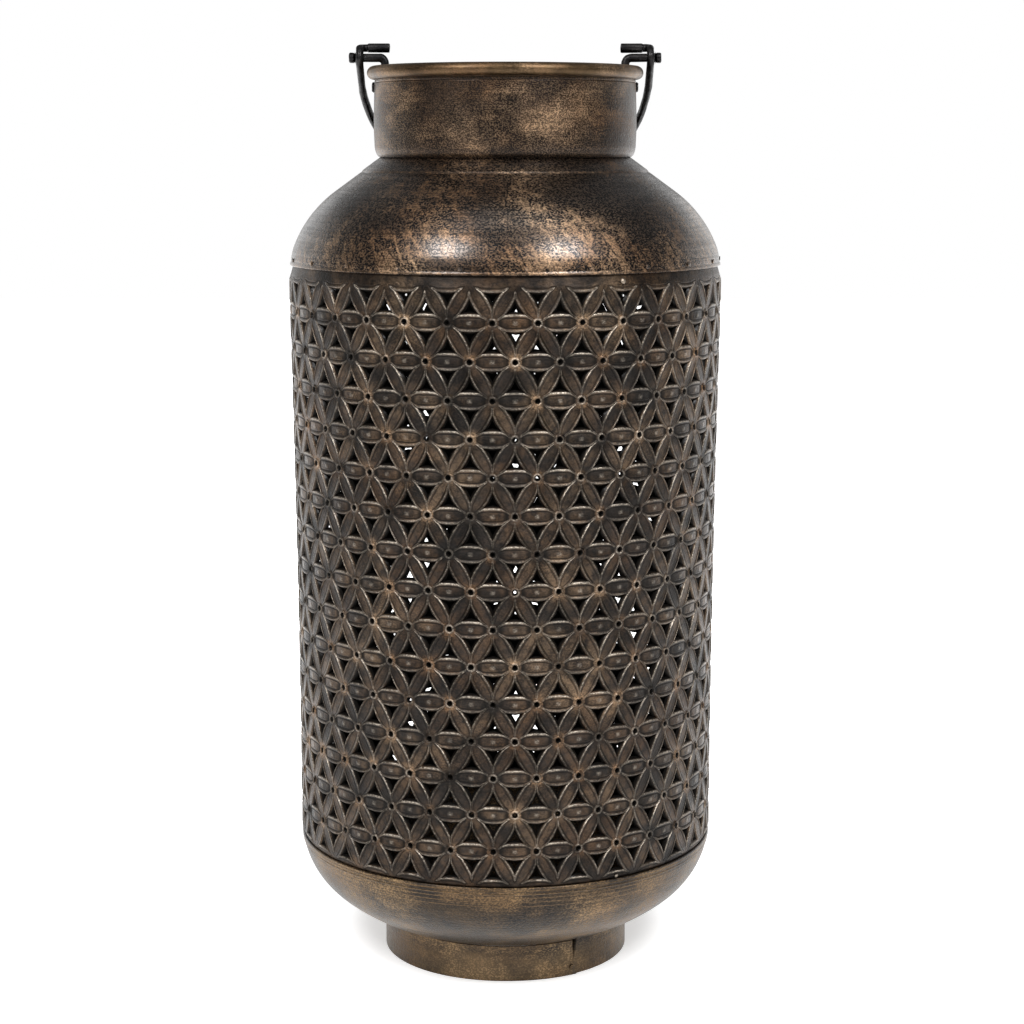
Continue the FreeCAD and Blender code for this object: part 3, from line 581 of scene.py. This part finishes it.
# Sets the flat cells out in rows, then wraps them round the flared cylinder, all in millimetres
def wrapTree():
    tree = bpy.data.node_groups.new("wrapped lattice", "GeometryNodeTree")
    face = tree.interface
    for name in cells:
        face.new_socket(name=name, in_out="INPUT", socket_type="NodeSocketObject")
    for name in ("Pairs", "Rows"):
        face.new_socket(name=name, in_out="INPUT", socket_type="NodeSocketInt")
    for name in ("Half pitch", "Row pitch", "First row", "Waist radius", "Flare", "Flare start", "Turn"):
        face.new_socket(name=name, in_out="INPUT", socket_type="NodeSocketFloat")
    face.new_socket(name="Metal", in_out="INPUT", socket_type="NodeSocketMaterial")
    face.new_socket(name="Geometry", in_out="OUTPUT", socket_type="NodeSocketGeometry")
    given = tree.nodes.new("NodeGroupInput")
    value = {out.name: Signal(tree, out) for out in given.outputs if out.name}

    # Points on row lines, from the line numbered shiftRow upwards; phase 1 sets them on the nodes
    def spots(count, shiftRow, phase=1):
        points = knot(tree, "GeometryNodePoints", {"Count": count})
        index = knot(tree, "GeometryNodeInputIndex")
        row = (index / value["Pairs"]).maths("FLOOR")
        column = index - row * value["Pairs"]
        across = (2 * column + (row + shiftRow + phase) % 2) * value["Half pitch"]
        up = value["First row"] + (row + shiftRow) * value["Row pitch"]
        where = knot(tree, "ShaderNodeCombineXYZ", {"X": across, "Y": up})
        return knot(tree, "GeometryNodeSetPosition", {"Geometry": points, "Position": where})

    def strew(points, cell):
        body = knot(tree, "GeometryNodeObjectInfo", {"Object": value[cell]}, output="Geometry",
                    transform_space="ORIGINAL")
        return knot(tree, "GeometryNodeInstanceOnPoints", {"Points": points, "Instance": body})

    pairs, rows = value["Pairs"], value["Rows"]
    join = tree.nodes.new("GeometryNodeJoinGeometry")
    for batch in (
            strew(spots(pairs * (rows - 2), 1, 0), "Petals"),
            strew(spots(pairs, 0, 0), "Lowest petals"),
            strew(spots(pairs, rows - 1, 0), "Highest petals"),
            strew(spots(pairs * (rows - 1), 1), "Eyelet"),
            strew(spots(pairs, rows), "Upper band"),
            strew(spots(pairs, 0), "Lower band")):
        tree.links.new(batch.socket, join.inputs[0])
    real = knot(tree, "GeometryNodeRealizeInstances", {"Geometry": Signal(tree, join.outputs[0])})
    across, up, relief = axes(knot(tree, "GeometryNodeInputPosition"))
    reach = (rows - 1) * value["Row pitch"] + value["First row"] - value["Flare start"]
    climb = ((up - value["Flare start"]) / reach).clamped()
    radius = value["Waist radius"] + value["Flare"] * climb * climb + relief
    for start, length, depth in sleeve["topTucks"]:
        radius = radius - depth * ((up - start) / length).clamped()
    for start, length, depth in sleeve["footTucks"]:
        radius = radius - depth * ((start - up) / length).clamped()
    angle = across / value["Waist radius"] + value["Turn"]
    bent = knot(tree, "ShaderNodeCombineXYZ", {
        "X": radius * angle.maths("SINE") * mm, "Y": radius * angle.maths("COSINE") * -mm, "Z": up * mm})
    wrapped = knot(tree, "GeometryNodeSetPosition", {"Geometry": real, "Position": bent})
    merged = knot(tree, "GeometryNodeMergeByDistance", {"Geometry": wrapped, "Distance": sleeve["weld"]})
    alone = knot(tree, "GeometryNodeRealizeInstances", {"Geometry": merged})
    coated = knot(tree, "GeometryNodeSetMaterial", {"Geometry": alone, "Material": value["Metal"]})
    knot(tree, "NodeGroupOutput", {"Geometry": coated})
    return tree


# Runs a node tree on an empty mesh and keeps what it makes as one mesh
def grown(name, tree, values):
    holder = bpy.data.objects.new(name, bpy.data.meshes.new(name))
    scene.collection.objects.link(holder)
    modifier = holder.modifiers.new("grow", "NODES")
    modifier.node_group = tree
    identifiers = {item.name: item.identifier for item in tree.interface.items_tree if item.in_out == "INPUT"}
    for label, value in values.items():
        modifier[identifiers[label]] = value
    bpy.context.view_layer.update()
    graph = bpy.context.evaluated_depsgraph_get()
    mesh = bpy.data.meshes.new_from_object(holder.evaluated_get(graph), depsgraph=graph)
    holder.modifiers.clear()
    holder.data = mesh
    return holder


# Turns every face outwards and says how many edges are left open
def outwards(thing):
    work = bmesh.new()
    work.from_mesh(thing.data)
    bmesh.ops.recalc_face_normals(work, faces=work.faces)
    if work.calc_volume(signed=True) < 0:
        bmesh.ops.reverse_faces(work, faces=work.faces)
    openEdges = sum(1 for edge in work.edges if not edge.is_manifold)
    triangles = sum(len(f.verts) - 2 for f in work.faces)
    work.to_mesh(thing.data)
    work.free()
    print(thing.name, "open edges", openEdges, "triangles", triangles)


lattice = grown("petal_lattice", wrapTree(), {
    **cells, "Pairs": sleeve["columns"] // 2, "Rows": sleeve["rows"], "Half pitch": halfPitch,
    "Row pitch": sleeve["rowPitch"], "First row": sleeve["firstRow"], "Waist radius": sleeve["waist"],
    "Flare": sleeve["flare"], "Flare start": sleeve["flareStart"], "Turn": math.radians(sleeve["turn"]),
    "Metal": latticeMetal})
for cell in cells.values():
    bpy.data.objects.remove(cell)
outwards(lattice)
shadeByAngle(lattice, sleeve["crease"])
finished(lattice, latticeMetal, "lantern", "sleeve_metal", "punched_sleeve")


# Ridges are the pressed lines of the lip: a height, and how far it stands proud there
bowl = {
    "sheet": 0.9, "side": 54.0, "base": 105.0, "widest": 128.2, "turn": 50.0, "lip": 76.2, "floor": 16.5,
    "flat": 20.0, "axis": 0.01, "behind": 0.1, "plainTurn": 6.5, "steps": 192, "crease": 40,
    "arcSteps": {"base": 26, "side": 22, "inside": 20},
    "ridges": ((70.9, 0.0), (71.5, 0.0), (72.0, 0.35), (72.5, 0.0), (73.6, 0.0), (74.1, 0.4), (74.7, 0.1),
               (75.5, 0.25), (76.0, 0.0), (76.2, -0.35))}
bowlTurn = math.radians(bowl["turn"])
sideCentre = (bowl["widest"] - bowl["side"],
              bowl["floor"] + bowl["base"] * (1 - math.sin(bowlTurn)) + bowl["side"] * math.sin(bowlTurn))
baseCentre = (sideCentre[0] + (bowl["side"] - bowl["base"]) * math.cos(bowlTurn),
              sideCentre[1] - (bowl["side"] - bowl["base"]) * math.sin(bowlTurn))
lipAngle = -math.degrees(math.asin((sideCentre[1] - bowl["lip"]) / bowl["side"]))


def bowlOutline():
    axis, edge, floor, turn = bowl["axis"], bowl["flat"], bowl["floor"], bowl["turn"]
    innerSide, innerBase = bowl["side"] - bowl["sheet"], bowl["base"] - bowl["sheet"]
    steps = bowl["arcSteps"]
    outer = [(axis, floor), (edge, floor)] + arcPoints(baseCentre, bowl["base"], -90, -turn, steps["base"])
    side = arcPoints(sideCentre, bowl["side"], -turn, lipAngle - bowl["plainTurn"], steps["side"])[1:]
    lip = []
    for height, proud in bowl["ridges"]:
        reach = math.sqrt(bowl["side"] ** 2 - (height - sideCentre[1]) ** 2)
        lip.append((sideCentre[0] + reach + proud - bowl["behind"], height))
    inner = arcPoints(sideCentre, innerSide, lipAngle, -turn, steps["inside"])
    inner += arcPoints(baseCentre, innerBase, -turn, -90, steps["inside"])[1:]
    return outer + side + lip + inner + [(edge, floor + bowl["sheet"]), (axis, floor + bowl["sheet"])]


bowlPiece = lathe("spun_bowl", bowlOutline(), bowl["steps"])
shadeByAngle(bowlPiece, bowl["crease"])
finished(bowlPiece, bowlMetal, "lantern", "foot_bowl_metal", "bowl")


# The roll is the skirt's edge, as radius and height over the lip; the seat line is a pressed step, as
# places out from the seat and over the cone; the neck seat runs from there to the collar
shoulder = {
    "sheet": 0.9, "radius": 129.8, "lip": 428.6, "knuckle": 32.0, "knuckleTurn": 22.0, "crown": 73.0,
    "crownTurn": 54.0, "seat": 86.4, "collar": 8.0, "collarRise": 0.5, "behind": 0.03, "rollTurn": 4.2,
    "collarOutside": 75.2, "collarInside": 74.3, "steps": 256, "crease": 40,
    "arcSteps": {"knuckle": 14, "crown": 24, "insideCrown": 16, "insideKnuckle": 8},
    "roll": ((128.9, 0.0), (129.9, 0.0), (130.25, 0.25), (130.3, 0.9), (130.1, 1.5), (129.72, 1.9)),
    "coneEnd": (90.0, -0.03), "seatLine": ((0.9, -0.05), (0.2, -0.2), (-0.2, 0.2), (-0.8, 0.45)),
    "neckSeat": ((80.0, 0.48), (76.6, 0.48), (75.2, 0.45))}
knuckleTurn = math.radians(shoulder["knuckleTurn"])
knuckleCentre = (shoulder["radius"] - shoulder["knuckle"], shoulder["lip"])
crownCentre = (knuckleCentre[0] + (shoulder["knuckle"] - shoulder["crown"]) * math.cos(knuckleTurn),
               knuckleCentre[1] + (shoulder["knuckle"] - shoulder["crown"]) * math.sin(knuckleTurn))


def coneHeight(radius, depth=0.0):
    turn = math.radians(shoulder["crownTurn"])
    startRadius = crownCentre[0] + (shoulder["crown"] - depth) * math.cos(turn)
    startHeight = crownCentre[1] + (shoulder["crown"] - depth) * math.sin(turn)
    return startHeight + (startRadius - radius) / math.tan(turn)


def shoulderOutline():
    knuckle, crown, sheet, behind = (shoulder[key] for key in ("knuckle", "crown", "sheet", "behind"))
    low, high = shoulder["knuckleTurn"], shoulder["crownTurn"]
    outside, inside = shoulder["collarOutside"], shoulder["collarInside"]
    outline = [(radius, shoulder["lip"] + rise) for radius, rise in shoulder["roll"]]
    steps = shoulder["arcSteps"]
    outline += arcPoints(knuckleCentre, knuckle - behind, shoulder["rollTurn"], low, steps["knuckle"])
    outline += arcPoints(crownCentre, crown - behind, low, high, steps["crown"])[1:]
    seatLine = [(shoulder["seat"] + out, rise) for out, rise in shoulder["seatLine"]]
    for radius, rise in (shoulder["coneEnd"], *seatLine, *shoulder["neckSeat"]):
        outline.append((radius, coneHeight(radius) + rise))
    top = coneHeight(outside) + shoulder["collarRise"] + shoulder["collar"]
    outline += [(outside, top), (inside, top), (inside, coneHeight(inside, sheet))]
    outline += arcPoints(crownCentre, crown - sheet, high, low, steps["insideCrown"])
    outline += arcPoints(knuckleCentre, knuckle - sheet, low, 0, steps["insideKnuckle"])[1:-1]
    return outline


shoulderPiece = lathe("spun_shoulder", shoulderOutline(), shoulder["steps"])
shadeByAngle(shoulderPiece, shoulder["crease"])
finished(shoulderPiece, shoulderMetal, "lantern", "dome_metal", "shoulder")


# The side is the neck's outside, as radius and height over its base, with a pressed line under the rim.
# The wires of the ears pass straight through it and fill their holes.
neck = {
    "sheet": 0.9, "topRadius": 78.15, "pressedLine": 43.9, "steps": 256, "crease": 45,
    "side": ((76.2, 0.0), (77.1, 1.0), (77.9, 2.6), (78.4, 4.6), (78.6, 6.4), (78.85, 12.0), (79.0, 18.2),
             (78.9, 27.0), (78.6, 36.0), (78.35, 42.0), (78.25, 43.4), (77.9, 43.9), (78.2, 44.4))}


def neckOutline():
    base, top = (corner.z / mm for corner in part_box("neck"))
    side = [(radius, base + rise) for radius, rise in neck["side"]] + [(neck["topRadius"], top)]
    inner = [(radius - neck["sheet"], height) for radius, height in side[::-1]
             if height != base + neck["pressedLine"]]
    return flowing(side, 3) + inner


neckPiece = lathe("spun_neck", neckOutline(), neck["steps"])
shadeByAngle(neckPiece, neck["crease"])
finished(neckPiece, neckMetal, "lantern", "dome_metal", "neck")


rim = {"radius": 78.9, "bead": 3.93, "points": 24, "steps": 256, "crease": 60}
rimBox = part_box("rim_ring")
rimCentre = (rim["radius"], (rimBox[0].z + rimBox[1].z) / 2 / mm)
rimPiece = lathe("rim_bead", arcPoints(rimCentre, rim["bead"], 0, 360, rim["points"])[:-1], rim["steps"])
shadeByAngle(rimPiece, rim["crease"])
finished(rimPiece, rimMetal, "lantern", "rim_metal", "rim_ring")


keptCrease = 35
wire = {"chamfer": 1.1, "bevelSteps": 3, "dent": 0.5, "flatTurn": 2, "endTurn": 60, "broad": 170, "fine": 420,
        "fineShare": 0.35}


# Rounds the cut ends of a wire and dents it slightly inwards, as hammered and bent by hand
def handWorked(work):
    bmesh.ops.dissolve_limit(work, angle_limit=math.radians(wire["flatTurn"]), verts=work.verts,
                             edges=work.edges)
    cut = [edge for edge in work.edges
           if edge.is_manifold and edge.calc_face_angle() > math.radians(wire["endTurn"])]
    bmesh.ops.bevel(work, geom=cut, offset=wire["chamfer"] * mm, segments=wire["bevelSteps"], profile=0.5,
                    affect="EDGES")
    work.normal_update()
    for vert in work.verts:
        hit = 0.5 + 0.5 * noise.noise(vert.co * wire["broad"])
        hit += wire["fineShare"] * noise.noise(vert.co * wire["fine"])
        vert.co -= vert.normal * wire["dent"] * mm * max(hit, 0)


# A copy of a CAD node, merged and smoothed
def keptShape(node, name, material, body, slotName, worked=False):
    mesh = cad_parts[node].data.copy()
    mesh.name = name
    thing = bpy.data.objects.new(name, mesh)
    scene.collection.objects.link(thing)
    work = bmesh.new()
    work.from_mesh(mesh)
    bmesh.ops.remove_doubles(work, verts=work.verts, dist=weldWithin)
    if worked:
        handWorked(work)
    work.to_mesh(mesh)
    work.free()
    shadeByAngle(thing, keptCrease)
    return finished(thing, material, body, slotName, node)


keptShape("foot_ring", "rolled_foot", bowlMetal, "lantern", "foot_bowl_metal")
keptShape("foot_rivet", "lap_rivet", bowlMetal, "lantern", "rivet_metal")
keptShape("shoulder_rivets", "skirt_rivets", shoulderMetal, "lantern", "rivet_metal")
keptShape("seam_solder", "solder_spots", solderMetal, "lantern", "solder")
keptShape("left_ear", "left_ear_wire", wireIron, "lantern", "bail_iron", worked=True)
keptShape("right_ear", "right_ear_wire", wireIron, "lantern", "bail_iron", worked=True)
keptShape("bail", "bail_wire", wireIron, "bail", "bail_iron", worked=True)


portrait = {"sensor": 36.0, "lens": 78.15, "place": (0.0041, -1.35873, 0.49913), "tilt": 0.1631}
cameraData = bpy.data.cameras.new("portrait camera")
cameraData.sensor_width = portrait["sensor"]
cameraData.lens = portrait["lens"]
camera = bpy.data.objects.new("portrait camera", cameraData)
camera.location = portrait["place"]
camera.rotation_euler = (math.pi / 2 - portrait["tilt"], 0.0, 0.0)
scene.collection.objects.link(camera)
scene.camera = camera


def softBox(name, place, target, width, height, power):
    light = bpy.data.lights.new(name, "AREA")
    light.shape = "RECTANGLE"
    light.size = width
    light.size_y = height
    light.energy = power
    thing = bpy.data.objects.new(name, light)
    thing.location = place
    thing.rotation_euler = (Vector(target) - Vector(place)).to_track_quat("-Z", "Y").to_euler()
    scene.collection.objects.link(thing)


# Each lamp's place, what it points at, its width, height and power
lamps = {
    "left window": ((-0.78, -1.1, 1.55), (0, 0, 0.4), 0.46, 0.5, 27),
    "right window": ((0.78, -1.1, 1.55), (0, 0, 0.4), 0.46, 0.5, 27),
    "top softbox": ((0, -0.6, 2.3), (0, 0, 0.3), 1.6, 0.6, 7),
    "left backdrop": ((-1.3, 1.5, 0.6), (0, 0, 0.4), 1.8, 1.2, 7),
    "right backdrop": ((1.3, 1.5, 0.6), (0, 0, 0.4), 1.8, 1.2, 7)}
for lampName, lampLook in lamps.items():
    softBox(lampName, *lampLook)
print("lamps", len(lamps))


# The floor glows a little, and more where it is seen and farther out, so that it runs into the white
floorLook = {"grey": 0.93, "rough": 0.9, "shine": 0.1, "half": 6, "glow": 0.12, "seenNear": 0.42,
             "seenFar": 0.9, "fade": (0.15, 0.5)}


def floorMaterial():
    material = bpy.data.materials.new("pale studio floor")
    material.use_nodes = True
    tree = material.node_tree
    surface = tree.nodes["Principled BSDF"]
    place = knot(tree, "ShaderNodeTexCoord", output="Object")
    away = knot(tree, "ShaderNodeVectorMath", {0: place}, output="Value", operation="LENGTH")
    seen = knot(tree, "ShaderNodeLightPath", output="Is Camera Ray").most(
        knot(tree, "ShaderNodeLightPath", output="Is Glossy Ray"))
    shown = floorLook["seenNear"] + floorLook["seenFar"] * away.rise(*floorLook["fade"])
    for name, value in {
            "Base Color": (*[floorLook["grey"]] * 3, 1), "Roughness": floorLook["rough"],
            "Specular IOR Level": floorLook["shine"], "Emission Strength": 1.0,
            "Emission Color": floorLook["glow"] + seen * shown}.items():
        plug(tree, surface.inputs[name], value)
    return material


half = floorLook["half"]
floorMesh = bpy.data.meshes.new("studio floor")
floorMesh.from_pydata([(-half, -half, 0), (half, -half, 0), (half, half, 0), (-half, half, 0)], [],
                      [(0, 1, 2, 3)])
floorMesh.materials.append(floorMaterial())
floor = bpy.data.objects.new("studio floor", floorMesh)
scene.collection.objects.link(floor)

# White for the camera, dimmer in the metal's reflections and as light
worldLook = {"light": 0.1, "seen": 0.9, "mirrored": 0.16}
world = bpy.data.worlds.new("white studio")
scene.world = world
world.use_nodes = True
worldTree = world.node_tree
worldTree.nodes.clear()
seen = knot(worldTree, "ShaderNodeLightPath", output="Is Camera Ray")
mirrored = knot(worldTree, "ShaderNodeLightPath", output="Is Glossy Ray")
shell = knot(worldTree, "ShaderNodeBackground", {
    "Color": (1, 1, 1, 1),
    "Strength": worldLook["light"] + (worldLook["seen"] * seen).most(worldLook["mirrored"] * mirrored)})
knot(worldTree, "ShaderNodeOutputWorld", {"Surface": shell})
scene.view_settings.view_transform = "Standard"
